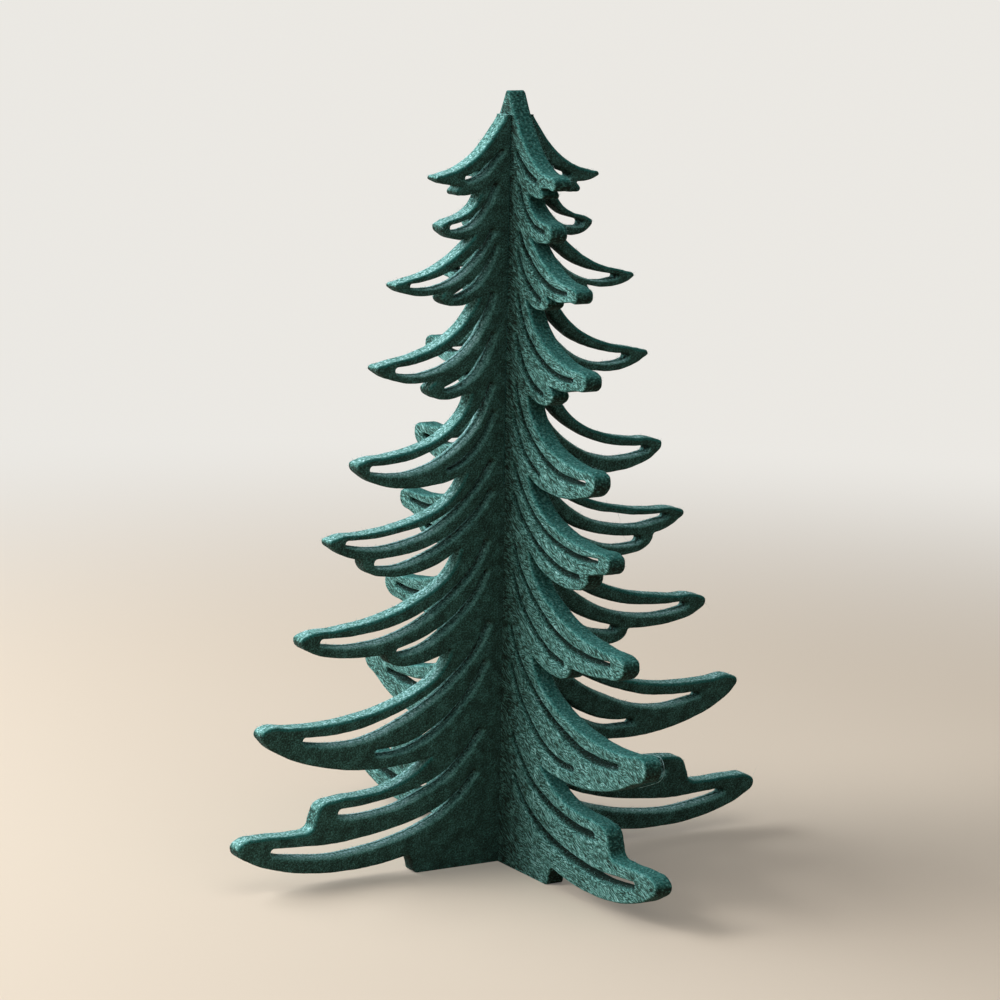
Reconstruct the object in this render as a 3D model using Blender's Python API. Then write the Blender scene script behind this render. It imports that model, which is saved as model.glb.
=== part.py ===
# Felt Christmas tree that slots together from two flat panels of thick felt.
# Both panels are cut to one outline: nine tiers of upswept boughs, pierced by long tapering slits.
# The standing panel is slotted from its top and the crossing panel from its foot, so that the
# crossing panel slides down over the standing one and the four wings stand square to each other.
# Metres, +Z up, origin at the centre of the feet on the surface that the tree stands on.

import math

import bmesh
import bpy
from mathutils import Matrix, Vector

# The tree as a whole
tree_height = 0.320
wing_reach = 0.1246
felt_thickness = 0.008

# The halving joint between the two panels
crossing_height = 0.160
shoulder_drop = 0.0097
shoulder_height = tree_height - shoulder_drop
fit_gap = 0.0003
cut_overrun = 0.002
slot_half_width = felt_thickness / 2 + fit_gap
above_apex = tree_height + cut_overrun

# The slits through the boughs: the width of the widest one
slit_width = 0.0054

# How finely the curves are drawn
outline_steps = 2
slit_steps = 2
slit_end_steps = 3
crease_angle = math.radians(40)
weld_distance = 0.00001

felt_colour = (0.012, 0.105, 0.098, 1.0)
felt_roughness = 0.95

# One wing's edge from the foot up to the apex, as shares of wing_reach and tree_height.
# Each tier runs out along its underside to the bough's tip and back along its upper side.
# A third value marks a sharp corner: the foot, a cleft between two tiers or the start of a lobe.
corner = True
wing_outline_shares = (
    # The foot
    (0.351, 0.0000, corner), (0.358, 0.0138), (0.371, 0.0250, corner),
    # The lowest tier, with a rounded lobe stepped up from its upper side
    (0.465, 0.0184), (0.602, 0.0153), (0.738, 0.0184), (0.859, 0.0284), (0.951, 0.0425),
    (1.000, 0.0594), (0.978, 0.0700), (0.915, 0.0728), (0.787, 0.0722), (0.733, 0.0759),
    (0.720, 0.0884), (0.700, 0.1047), (0.642, 0.1106), (0.530, 0.1128), (0.425, 0.1203),
    (0.349, 0.1344), (0.289, 0.1522, corner),
    # The eighth tier, one broad bough
    (0.337, 0.1478), (0.417, 0.1447), (0.514, 0.1438), (0.626, 0.1488), (0.746, 0.1603),
    (0.851, 0.1781), (0.904, 0.1947), (0.917, 0.2050), (0.895, 0.2122), (0.803, 0.2103),
    (0.690, 0.2100), (0.562, 0.2147), (0.449, 0.2250), (0.353, 0.2391), (0.277, 0.2569),
    (0.237, 0.2759), (0.223, 0.2900, corner),
    # The seventh tier, over a small lobe
    (0.273, 0.2809), (0.353, 0.2744), (0.425, 0.2753), (0.459, 0.2844), (0.465, 0.2916, corner),
    (0.562, 0.2909), (0.658, 0.2947), (0.738, 0.3044), (0.777, 0.3191), (0.746, 0.3275),
    (0.658, 0.3300), (0.546, 0.3353), (0.441, 0.3447), (0.345, 0.3597), (0.265, 0.3775),
    (0.217, 0.3975), (0.191, 0.4228, corner),
    # The sixth tier, over a long lobe
    (0.241, 0.4088), (0.305, 0.3981), (0.385, 0.3919), (0.465, 0.3919), (0.530, 0.3991),
    (0.554, 0.4091), (0.556, 0.4166, corner), (0.610, 0.4219), (0.654, 0.4313), (0.677, 0.4413),
    (0.654, 0.4472), (0.562, 0.4494), (0.449, 0.4547), (0.345, 0.4644), (0.265, 0.4772),
    (0.209, 0.4959), (0.175, 0.5194, corner),
    # The fifth tier, one bough
    (0.233, 0.5091), (0.305, 0.5041), (0.393, 0.5031), (0.482, 0.5088), (0.550, 0.5206),
    (0.581, 0.5363), (0.560, 0.5422), (0.465, 0.5463), (0.361, 0.5544), (0.273, 0.5675),
    (0.209, 0.5869), (0.179, 0.6025), (0.162, 0.6219, corner),
    # The fourth tier, over a small lobe
    (0.201, 0.6163), (0.249, 0.6131), (0.297, 0.6163), (0.323, 0.6259), (0.311, 0.6338),
    (0.294, 0.6384, corner), (0.369, 0.6359), (0.449, 0.6413), (0.500, 0.6506), (0.515, 0.6575),
    (0.482, 0.6628), (0.385, 0.6703), (0.289, 0.6838), (0.221, 0.7006), (0.173, 0.7203),
    (0.140, 0.7425, corner),
    # The third tier, over a small lobe
    (0.177, 0.7341), (0.225, 0.7313), (0.266, 0.7341), (0.282, 0.7413), (0.268, 0.7509, corner),
    (0.329, 0.7459), (0.401, 0.7488), (0.443, 0.7556), (0.451, 0.7603), (0.421, 0.7653),
    (0.345, 0.7725), (0.265, 0.7866), (0.201, 0.8044), (0.157, 0.8209, corner),
    # The second tier, a short bough
    (0.189, 0.8153), (0.229, 0.8153), (0.263, 0.8206), (0.286, 0.8313), (0.267, 0.8372),
    (0.213, 0.8438), (0.165, 0.8556), (0.138, 0.8750, corner),
    # The first tier, over a small lobe, and the long sweep up to the apex
    (0.173, 0.8713), (0.209, 0.8700), (0.234, 0.8728), (0.220, 0.8828, corner), (0.261, 0.8838),
    (0.294, 0.8881), (0.305, 0.8925), (0.281, 0.8966), (0.225, 0.9031), (0.161, 0.9175),
    (0.112, 0.9366), (0.075, 0.9559), (0.055, 0.9669), (0.037, 0.9794), (0.022, 0.9906),
    (0.010, 1.0000, corner),
)

# The middle line of each slit from its fine inner end to its outer one: shares of wing_reach and
# tree_height, then the slit's width there as a share of slit_width.
slit_shares = (
    # Two in the lowest tier
    ((0.124, 0.1234, 0.31), (0.185, 0.0963, 0.37), (0.289, 0.0713, 0.59), (0.449, 0.0534, 0.83),
     (0.642, 0.0450, 0.83), (0.787, 0.0484, 0.67), (0.864, 0.0522, 0.46)),
    ((0.106, 0.1781, 0.31), (0.160, 0.1516, 0.35), (0.239, 0.1237, 0.43), (0.337, 0.1069, 0.52),
     (0.433, 0.0966, 0.78), (0.538, 0.0916, 0.78), (0.618, 0.0916, 0.59)),
    # Two in the eighth
    ((0.082, 0.3181, 0.31), (0.127, 0.2859, 0.33), (0.196, 0.2575, 0.39), (0.289, 0.2306, 0.54),
     (0.401, 0.2091, 0.70), (0.530, 0.1925, 0.85), (0.642, 0.1881, 0.70), (0.753, 0.1913, 0.41)),
    ((0.093, 0.2675, 0.31), (0.130, 0.2406, 0.31), (0.184, 0.2156, 0.35), (0.257, 0.1906, 0.39),
     (0.337, 0.1738, 0.44), (0.409, 0.1656, 0.46), (0.488, 0.1644, 0.37)),
    # Two in the seventh
    ((0.096, 0.4250, 0.30), (0.128, 0.3994, 0.31), (0.185, 0.3750, 0.33), (0.257, 0.3525, 0.37),
     (0.353, 0.3312, 0.56), (0.465, 0.3178, 0.72), (0.594, 0.3131, 0.74), (0.692, 0.3156, 0.52)),
    ((0.096, 0.3859, 0.30), (0.130, 0.3603, 0.31), (0.184, 0.3378, 0.35), (0.249, 0.3178, 0.43),
     (0.329, 0.3013, 0.59), (0.413, 0.2931, 0.43)),
    # Two in the sixth
    ((0.084, 0.5281, 0.30), (0.120, 0.5062, 0.31), (0.169, 0.4856, 0.33), (0.233, 0.4656, 0.44),
     (0.313, 0.4491, 0.69), (0.401, 0.4406, 0.85), (0.498, 0.4359, 0.78), (0.605, 0.4388, 0.48)),
    ((0.084, 0.4906, 0.30), (0.120, 0.4706, 0.31), (0.177, 0.4494, 0.33), (0.249, 0.4309, 0.37),
     (0.329, 0.4181, 0.56), (0.417, 0.4103, 0.78), (0.497, 0.4097, 0.61)),
    # Two in the fifth
    ((0.087, 0.6281, 0.30), (0.112, 0.6031, 0.37), (0.152, 0.5797, 0.70), (0.209, 0.5600, 0.85),
     (0.289, 0.5416, 1.00), (0.377, 0.5309, 0.93), (0.457, 0.5287, 0.76), (0.518, 0.5300, 0.54)),
    ((0.079, 0.5922, 0.28), (0.108, 0.5672, 0.31), (0.148, 0.5463, 0.33), (0.197, 0.5312, 0.35),
     (0.241, 0.5237, 0.26)),
    # Two in the fourth
    ((0.087, 0.7438, 0.30), (0.108, 0.7219, 0.37), (0.144, 0.6987, 0.61), (0.201, 0.6778, 0.81),
     (0.265, 0.6634, 0.98), (0.337, 0.6550, 0.96), (0.393, 0.6528, 0.74), (0.432, 0.6537, 0.50)),
    ((0.084, 0.6922, 0.30), (0.108, 0.6697, 0.41), (0.148, 0.6487, 0.54), (0.197, 0.6338, 0.54),
     (0.253, 0.6259, 0.33)),
    # Two in the third
    ((0.092, 0.8234, 0.30), (0.120, 0.8050, 0.35), (0.161, 0.7900, 0.56), (0.217, 0.7737, 0.69),
     (0.281, 0.7631, 0.74), (0.337, 0.7594, 0.59), (0.385, 0.7591, 0.35)),
    ((0.083, 0.8047, 0.28), (0.103, 0.7844, 0.33), (0.136, 0.7653, 0.48), (0.177, 0.7528, 0.50),
     (0.227, 0.7431, 0.30)),
    # One in the second and one in the first
    ((0.084, 0.8812, 0.24), (0.108, 0.8625, 0.30), (0.136, 0.8488, 0.44), (0.173, 0.8366, 0.63),
     (0.209, 0.8319, 0.63), (0.241, 0.8300, 0.52)),
    ((0.063, 0.9234, 0.26), (0.092, 0.9116, 0.30), (0.128, 0.9003, 0.44), (0.161, 0.8938, 0.48),
     (0.187, 0.8912, 0.39)),
)


# A point of the panel's face: its distance out from the trunk's middle line and its height.
def panel_point(reach_share, height_share):
    return Vector((reach_share * wing_reach, height_share * tree_height))


# The same point on the opposite wing.
def opposite(point):
    return Vector((-point.x, point.y))


# The place and the width on a smooth line through a slit's stations, a part of the way from one
# station to the next (a Catmull-Rom curve, with its first and last stations doubled).
def along_slit(stations, index, part):
    last = len(stations) - 1
    a, b, c, d = (stations[min(max(index + k, 0), last)] for k in (-1, 0, 1, 2))
    return (
        b
        + (c - a) * (part / 2)
        + (2 * a - 5 * b + 4 * c - d) * (part ** 2 / 2)
        + (3 * (b - c) + d - a) * (part ** 3 / 2)
    )


# A half circle of points round one end of a slit, from its left side to its right side.
def slit_end(centre, forward, radius):
    first_angle = math.atan2(forward.y, forward.x) + math.pi / 2
    points = []
    for step in range(1, slit_end_steps):
        angle = first_angle - math.pi * step / slit_end_steps
        points.append(centre + radius * Vector((math.cos(angle), math.sin(angle))))
    return points


# The closed edge of one slit on the right-hand wing.
def slit_outline(shares):
    stations = []
    for reach_share, height_share, width_share in shares:
        place = panel_point(reach_share, height_share)
        stations.append(Vector((place.x, place.y, width_share * slit_width)))
    line = []
    for index in range(len(stations) - 1):
        for step in range(slit_steps):
            line.append(along_slit(stations, index, step / slit_steps))
    line.append(stations[-1])

    left = []
    right = []
    for index, station in enumerate(line):
        ahead = line[min(index + 1, len(line) - 1)]
        behind = line[max(index - 1, 0)]
        forward = (ahead - behind).xy.normalized()
        sideways = Vector((-forward.y, forward.x)) * station.z / 2
        left.append(station.xy + sideways)
        right.append(station.xy - sideways)

    outward = (line[-1] - line[-2]).xy
    inward = (line[0] - line[1]).xy
    outer_end = slit_end(line[-1].xy, outward, line[-1].z / 2)
    inner_end = slit_end(line[0].xy, inward, line[0].z / 2)
    return left + outer_end + right[::-1] + inner_end


# The edge of the whole panel as one closed spline, smooth but for its corners.
def add_panel_edge(curve):
    right = [(panel_point(share[0], share[1]), len(share) > 2) for share in wing_outline_shares]
    left = [(opposite(point), sharp) for point, sharp in reversed(right)]
    points = right + left
    spline = curve.splines.new("BEZIER")
    spline.use_cyclic_u = True
    spline.bezier_points.add(len(points) - 1)
    for knot, (point, sharp) in zip(spline.bezier_points, points):
        knot.co = point.to_3d()
        knot.handle_left_type = knot.handle_right_type = "VECTOR" if sharp else "AUTO"


# One pierced slit, as a hole in the panel.
def add_slit(curve, points):
    spline = curve.splines.new("POLY")
    spline.use_cyclic_u = True
    spline.points.add(len(points) - 1)
    for knot, point in zip(spline.points, points):
        knot.co = (point.x, point.y, 0, 1)


# The uncut panel, standing upright on its foot and turned about the trunk by an angle.
def panel_blank(name, collection, turn):
    curve = bpy.data.curves.new(name + "_outline", "CURVE")
    curve.dimensions = "2D"
    curve.fill_mode = "BOTH"
    curve.extrude = felt_thickness / 2
    curve.resolution_u = outline_steps
    add_panel_edge(curve)
    for shares in slit_shares:
        points = slit_outline(shares)
        add_slit(curve, points)
        add_slit(curve, [opposite(point) for point in reversed(points)])

    outline = bpy.data.objects.new(name + "_outline", curve)
    outline.matrix_world = Matrix.Rotation(turn, 4, "Z") @ Matrix.Rotation(math.pi / 2, 4, "X")
    collection.objects.link(outline)
    bpy.context.view_layer.update()
    evaluated = outline.evaluated_get(bpy.context.evaluated_depsgraph_get())
    mesh = bpy.data.meshes.new_from_object(evaluated)
    mesh.name = name

    shape = bmesh.new()
    shape.from_mesh(mesh)
    bmesh.ops.remove_doubles(shape, verts=shape.verts, dist=weld_distance)
    bmesh.ops.recalc_face_normals(shape, faces=shape.faces)
    shape.to_mesh(mesh)
    shape.free()
    mesh.shade_smooth()
    mesh.set_sharp_from_angle(angle=crease_angle)

    panel = bpy.data.objects.new(name, mesh)
    panel.matrix_world = outline.matrix_world.copy()
    collection.objects.link(panel)
    bpy.data.objects.remove(outline)
    return panel


# A box that cuts away the panel where it stands, from one height to another.
def cut_box(panel, name, collection, half_width, bottom, top):
    mesh = bpy.data.meshes.new(name)
    shape = bmesh.new()
    bmesh.ops.create_cube(shape, size=1.0)
    size = (2 * half_width, top - bottom, felt_thickness + 2 * cut_overrun)
    bmesh.ops.scale(shape, vec=size, verts=shape.verts)
    bmesh.ops.translate(shape, vec=(0, (bottom + top) / 2, 0), verts=shape.verts)
    shape.to_mesh(mesh)
    shape.free()

    cutter = bpy.data.objects.new(name, mesh)
    cutter.matrix_world = panel.matrix_world.copy()
    cutter.hide_render = True
    cutter.display_type = "WIRE"
    collection.objects.link(cutter)
    cut = panel.modifiers.new(name, "BOOLEAN")
    cut.operation = "DIFFERENCE"
    cut.solver = "EXACT"
    cut.object = cutter


# Thick felt, a deep pine green right through.
def felt_material(name):
    material = bpy.data.materials.new(name)
    material.use_nodes = True
    surface = material.node_tree.nodes["Principled BSDF"]
    surface.inputs["Base Color"].default_value = felt_colour
    surface.inputs["Roughness"].default_value = felt_roughness
    surface.inputs["Metallic"].default_value = 0
    material.diffuse_color = felt_colour
    return material


# The panel that stands across the tree: slotted from its top, its apex cut away beside the slot.
def standing_panel(parts, cutters):
    panel = panel_blank("standing_panel", parts, 0)
    panel.data.materials.append(felt_material("standing_panel_felt"))
    cut_box(panel, "top_slot", cutters, slot_half_width, crossing_height, above_apex)
    cut_box(panel, "apex_cut", cutters, wing_reach, shoulder_height, above_apex)
    return panel


# The panel that slides down over it: slotted from its foot, whole up to the apex.
def crossing_panel(parts, cutters):
    panel = panel_blank("crossing_panel", parts, math.pi / 2)
    panel.data.materials.append(felt_material("crossing_panel_felt"))
    slot_top = crossing_height + fit_gap
    cut_box(panel, "foot_slot", cutters, slot_half_width, -cut_overrun, slot_top)
    return panel


def build():
    for old in list(bpy.data.objects):
        bpy.data.objects.remove(old)
    parts = bpy.data.collections.new("felt_christmas_tree")
    cutters = bpy.data.collections.new("cutters")
    bpy.context.scene.collection.children.link(parts)
    bpy.context.scene.collection.children.link(cutters)
    standing_panel(parts, cutters)
    crossing_panel(parts, cutters)


build()
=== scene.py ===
# A fir tree of thick green felt: two flat panels of pierced boughs that slot together crosswise.
# Every length is in metres. The outline and the slits are listed in millimetres.

import math
import random

import bpy
from mathutils import Matrix, Vector, kdtree, noise


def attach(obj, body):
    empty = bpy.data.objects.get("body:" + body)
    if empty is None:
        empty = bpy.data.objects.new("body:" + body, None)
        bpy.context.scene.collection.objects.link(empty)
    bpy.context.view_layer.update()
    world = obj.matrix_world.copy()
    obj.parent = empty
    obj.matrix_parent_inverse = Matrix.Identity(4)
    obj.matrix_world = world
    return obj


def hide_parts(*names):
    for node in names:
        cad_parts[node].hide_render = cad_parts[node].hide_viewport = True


mm = 0.001
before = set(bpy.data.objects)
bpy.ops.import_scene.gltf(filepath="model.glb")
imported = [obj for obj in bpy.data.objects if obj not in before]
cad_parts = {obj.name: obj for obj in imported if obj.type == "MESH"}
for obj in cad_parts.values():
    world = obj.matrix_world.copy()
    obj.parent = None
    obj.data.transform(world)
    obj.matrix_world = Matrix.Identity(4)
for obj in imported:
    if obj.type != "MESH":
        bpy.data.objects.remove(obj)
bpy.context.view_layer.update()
print("frame loaded:", ", ".join(sorted(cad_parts)))

# the felt, and how finely it is modelled
felt = {
    "thickness": 8 * mm,
    "edgeRound": 1.0 * mm,  # how far in the pressed faces roll over into the cut edges
    "edgeDrop": 1.1,  # how far down the roll goes for its way in
    "slitDrop": 2.0,  # the rims of the slits are softer and roll further down
    "reach": 1.65,  # the last row leans in this many times the roll
    "roundSteps": 5,
    "wallSteps": 2,
    "curveSteps": 7,  # points on each stretch between two listed ones
    "slitSpacing": 1.2 * mm,
    "slitEndSteps": 7,
    "upperFrom": 110,  # the slits that start above this are the upper ones, in mm
    "notchRound": 1.3 * mm,
    "cornerRound": 1.8 * mm,
    "cornerSteps": 6,
    "crowding": 0.11 * mm,  # points of the edge that lie closer together are dropped
    "leastMitre": 0.6,  # holds back how far a sharp turn leans in
    "searchRounds": 4,  # other edges are looked for this many slit rounds away
    "aheadShare": 0.05,  # an edge counts as ahead from this part of its distance on
    "narrowShare": 0.5,  # a roll takes up to this part of the room
    "smoothings": 4,
    "merge": 0.01 * mm,
    "shadeAngle": math.radians(50),
}

# the halving joint
joint = {
    "halfWidth": 4.3 * mm,
    "crossing": 160 * mm,
    "shoulder": 310.3 * mm,
    "shoulderOut": 6.4 * mm,
    "gap": 0.3 * mm,
    "slack": 0.1 * mm,  # what is this near to the slot or the foot belongs to it
    "rimShare": 0.25,  # the rims inside the slots are hardly rounded
    "overlap": 1 * mm,  # the stretch cut straight goes this far past the slot
    "aboveAll": 330 * mm,
}

# the third value of a corner: a sharp one is eased a little, a kept one stays as it is
sharp, kept = "sharp", "kept"

# one wing's edge in mm: out from the trunk and up, from the foot to the apex
wingEdge = [
    (43.7, 0.0, sharp), (44.6, 4.4), (46.2, 8.0, sharp), (57.9, 5.9), (75.0, 4.9), (92.0, 5.9),
    (107.0, 9.1), (118.5, 13.6), (124.6, 19.0), (121.9, 22.4), (114.0, 23.3), (98.1, 23.1),
    (91.3, 24.3), (89.7, 28.3), (87.2, 33.5), (80.0, 35.4), (66.0, 36.1), (53.0, 38.5),
    (43.5, 43.0), (36.0, 48.7, sharp), (42.0, 47.3), (52.0, 46.3), (64.0, 46.0), (78.0, 47.6),
    (93.0, 51.3), (106.0, 57.0), (112.6, 62.3), (114.3, 65.6), (111.5, 67.9), (100.1, 67.3),
    (86.0, 67.2), (70.0, 68.7), (55.9, 72.0), (44.0, 76.5), (34.5, 82.2), (29.5, 88.3),
    (27.8, 92.8, sharp), (34.0, 89.9), (44.0, 87.8), (53.0, 88.1), (57.2, 91.0),
    (57.9, 93.3, sharp), (70.0, 93.1), (82.0, 94.3), (92.0, 97.4), (96.8, 102.1), (93.0, 104.8),
    (82.0, 105.6), (68.0, 107.3), (54.9, 110.3), (43.0, 115.1), (33.0, 120.8), (27.0, 127.2),
    (23.8, 135.3, sharp), (30.0, 130.8), (38.0, 127.4), (48.0, 125.4), (57.9, 125.4),
    (66.0, 127.7), (69.0, 130.9), (69.3, 133.3, sharp), (76.0, 135.0), (81.5, 138.0),
    (84.4, 141.2), (81.5, 143.1), (70.0, 143.8), (55.9, 145.5), (43.0, 148.6), (33.0, 152.7),
    (26.0, 158.7), (21.8, 166.2, sharp), (29.0, 162.9), (38.0, 161.3), (49.0, 161.0),
    (60.1, 162.8), (68.5, 166.6), (72.4, 171.6), (69.8, 173.5), (57.9, 174.8), (45.0, 177.4),
    (34.0, 181.6), (26.0, 187.8), (22.3, 192.8), (20.2, 199.0, sharp), (25.0, 197.2),
    (31.0, 196.2), (37.0, 197.2), (40.2, 200.3), (38.8, 202.8), (36.6, 204.3, sharp),
    (46.0, 203.5), (55.9, 205.2), (62.3, 208.2), (64.2, 210.4), (60.1, 212.1), (48.0, 214.5),
    (36.0, 218.8), (27.5, 224.2), (21.6, 230.5), (17.4, 237.6, sharp), (22.1, 234.9),
    (28.0, 234.0), (33.1, 234.9), (35.1, 237.2), (33.4, 240.3, sharp), (41.0, 238.7),
    (50.0, 239.6), (55.2, 241.8), (56.2, 243.3), (52.5, 244.9), (43.0, 247.2), (33.0, 251.7),
    (25.0, 257.4), (19.6, 262.7, sharp), (23.5, 260.9), (28.5, 260.9), (32.8, 262.6),
    (35.6, 266.0), (33.3, 267.9), (26.5, 270.0), (20.6, 273.8), (17.2, 280.0, sharp),
    (21.6, 278.8), (26.0, 278.4), (29.2, 279.3), (27.4, 282.5, sharp), (32.5, 282.8),
    (36.6, 284.2), (38.0, 285.6), (35.0, 286.9), (28.0, 289.0), (20.1, 293.6), (14.0, 299.7),
    (9.3, 305.9), (6.9, 309.4), (4.6, 313.4), (2.7, 317.0), (1.2, 320.0, sharp),
]

# the middle line of each slit in mm, from its fine inner end: out, up and its width there
wingSlits = [
    ((15.5, 39.5, 1.7), (23.1, 30.8, 2.0), (36.0, 22.8, 3.2), (55.9, 17.1, 4.5),
     (80.0, 14.4, 4.5), (98.1, 15.5, 3.6), (107.6, 16.7, 2.5)),
    ((13.2, 57.0, 1.7), (19.9, 48.5, 1.9), (29.8, 39.6, 2.3), (42.0, 34.2, 2.8),
     (54.0, 30.9, 4.2), (67.0, 29.3, 4.2), (77.0, 29.3, 3.2)),
    ((10.2, 101.8, 1.7), (15.8, 91.5, 1.8), (24.4, 82.4, 2.1), (36.0, 73.8, 2.9),
     (50.0, 66.9, 3.8), (66.0, 61.6, 4.6), (80.0, 60.2, 3.8), (93.8, 61.2, 2.2)),
    ((11.6, 85.6, 1.7), (16.2, 77.0, 1.7), (22.9, 69.0, 1.9), (32.0, 61.0, 2.1),
     (42.0, 55.6, 2.4), (51.0, 53.0, 2.5), (60.8, 52.6, 2.0)),
    ((12.0, 136.0, 1.6), (15.9, 127.8, 1.7), (23.1, 120.0, 1.8), (32.0, 112.8, 2.0),
     (44.0, 106.0, 3.0), (57.9, 101.7, 3.9), (74.0, 100.2, 4.0), (86.2, 101.0, 2.8)),
    ((12.0, 123.5, 1.6), (16.2, 115.3, 1.7), (22.9, 108.1, 1.9), (31.0, 101.7, 2.3),
     (41.0, 96.4, 3.2), (51.5, 93.8, 2.3)),
    ((10.5, 169.0, 1.6), (15.0, 162.0, 1.7), (21.1, 155.4, 1.8), (29.0, 149.0, 2.4),
     (39.0, 143.7, 3.7), (50.0, 141.0, 4.6), (62.1, 139.5, 4.2), (75.4, 140.4, 2.6)),
    ((10.5, 157.0, 1.6), (15.0, 150.6, 1.7), (22.1, 143.8, 1.8), (31.0, 137.9, 2.0),
     (41.0, 133.8, 3.0), (52.0, 131.3, 4.2), (61.9, 131.1, 3.3)),
    ((10.8, 201.0, 1.6), (14.0, 193.0, 2.0), (18.9, 185.5, 3.8), (26.0, 179.2, 4.6),
     (36.0, 173.3, 5.4), (47.0, 169.9, 5.0), (56.9, 169.2, 4.1), (64.6, 169.6, 2.9)),
    ((9.8, 189.5, 1.5), (13.5, 181.5, 1.7), (18.4, 174.8, 1.8), (24.5, 170.0, 1.9),
     (30.0, 167.6, 1.4)),
    ((10.8, 238.0, 1.6), (13.5, 231.0, 2.0), (17.9, 223.6, 3.3), (25.0, 216.9, 4.4),
     (33.0, 212.3, 5.3), (42.0, 209.6, 5.2), (49.0, 208.9, 4.0), (53.8, 209.2, 2.7)),
    ((10.5, 221.5, 1.6), (13.5, 214.3, 2.2), (18.4, 207.6, 2.9), (24.5, 202.8, 2.9),
     (31.5, 200.3, 1.8)),
    ((11.5, 263.5, 1.6), (15.0, 257.6, 1.9), (20.1, 252.8, 3.0), (27.0, 247.6, 3.7),
     (35.0, 244.2, 4.0), (42.0, 243.0, 3.2), (48.0, 242.9, 1.9)),
    ((10.3, 257.5, 1.5), (12.8, 251.0, 1.8), (16.9, 244.9, 2.6), (22.1, 240.9, 2.7),
     (28.3, 237.8, 1.6)),
    ((10.5, 282.0, 1.3), (13.5, 276.0, 1.6), (16.9, 271.6, 2.4), (21.6, 267.7, 3.4),
     (26.0, 266.2, 3.4), (30.0, 265.6, 2.8)),
    ((7.8, 295.5, 1.4), (11.5, 291.7, 1.6), (15.9, 288.1, 2.4), (20.1, 286.0, 2.6),
     (23.3, 285.2, 2.1)),
]


# deselects everything but one object
def only(obj):
    bpy.ops.object.select_all(action="DESELECT")
    obj.select_set(True)
    bpy.context.view_layer.objects.active = obj


def inEdit(obj, work):
    only(obj)
    bpy.ops.object.mode_set(mode="EDIT")
    work()
    bpy.ops.object.mode_set(mode="OBJECT")


# a flat curve in the scene
def flatCurve(name):
    curve = bpy.data.curves.new(name, "CURVE")
    curve.dimensions = "2D"
    curve.fill_mode = "NONE"
    curve.resolution_u = felt["curveSteps"]
    obj = bpy.data.objects.new(name, curve)
    bpy.context.scene.collection.objects.link(obj)
    return obj


def toMesh(obj):
    only(obj)
    bpy.ops.object.convert(target="MESH")
    return bpy.context.object


# the panel's edge as a line of points, smooth but for the sharp knots
def edgeLine(knots):
    obj = flatCurve("edge")
    spline = obj.data.splines.new("BEZIER")
    spline.use_cyclic_u = True
    spline.bezier_points.add(len(knots) - 1)
    for point, knot in zip(spline.bezier_points, knots):
        point.co = (knot[0] * mm, knot[1] * mm, 0)
        kind = "VECTOR" if len(knot) > 2 else "AUTO"
        point.handle_left_type = point.handle_right_type = kind
    obj = toMesh(obj)
    line = [vertex.co.xy.copy() for vertex in obj.data.vertices]
    bpy.data.objects.remove(obj)
    return line


# rounds one corner of a closed line off, starting a short way before it
def easeCorner(line, spot, size):
    count = len(line)
    at = min(range(count), key=lambda i: (line[i] - spot).length)

    def walk(step):
        gone, i = 0, at
        while True:
            here, onto = line[i % count], line[(i + step) % count]
            run = (onto - here).length
            if gone + run > size:
                return i + step, here.lerp(onto, (size - gone) / run)
            gone += run
            i += step

    behind, start = walk(-1)
    ahead, end = walk(1)
    bend = []
    for k in range(felt["cornerSteps"] + 1):
        t = k / felt["cornerSteps"]
        bend.append(start * (1 - t) ** 2 + line[at] * 2 * t * (1 - t) + end * t ** 2)
    return bend + [line[i % count] for i in range(ahead, behind + count + 1)]


# eases the notches between the boughs and the outward corners, and drops points that crowd
def easeCorners(line, knots):
    for i, knot in enumerate(knots):
        if knot[2:] == (sharp,):
            before, here, after = (Vector(knots[k % len(knots)][:2]) for k in (i - 1, i, i + 1))
            outward = (here - before).cross(after - here) > 0
            line = easeCorner(line, here * mm, felt["cornerRound" if outward else "notchRound"])
    return [spot for i, spot in enumerate(line) if (spot - line[i - 1]).length > felt["crowding"]]


# the rim of one slit: a smooth middle line with a width, rounded off at both ends. The width goes
# along with the rim's points.
def slitRim(stations, share, widest):
    stations = [(out, up, min(width * share, widest)) for out, up, width in stations]
    line = []
    last = len(stations) - 1
    for i in range(last):
        a, b, c, d = (Vector(stations[min(max(i + k, 0), last)]) * mm for k in (-1, 0, 1, 2))
        steps = max(2, round((c - b).xy.length / felt["slitSpacing"]))
        for step in range(steps):
            t = step / steps
            line.append(b + (c - a) * t / 2 + (2 * a - 5 * b + 4 * c - d) * t * t / 2
                        + (3 * (b - c) + d - a) * t ** 3 / 2)
    line.append(Vector(stations[-1]) * mm)

    left, right = [], []
    for i, spot in enumerate(line):
        along = (line[min(i + 1, len(line) - 1)] - line[max(i - 1, 0)]).xy.normalized()
        side = Vector((-along.y, along.x)) * spot.z / 2
        left.append((spot.xy + side, spot.z))
        right.append((spot.xy - side, spot.z))

    def roundEnd(spot, along):
        start = math.atan2(along.y, along.x) + math.pi / 2
        turns = [start - math.pi * k / felt["slitEndSteps"] for k in range(1, felt["slitEndSteps"])]
        return [(spot.xy + Vector((math.cos(t), math.sin(t))) * spot.z / 2, spot.z) for t in turns]

    outer = roundEnd(line[-1], (line[-1] - line[-2]).xy)
    inner = roundEnd(line[0], (line[0] - line[1]).xy)
    return left + outer + right[::-1] + inner


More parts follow.
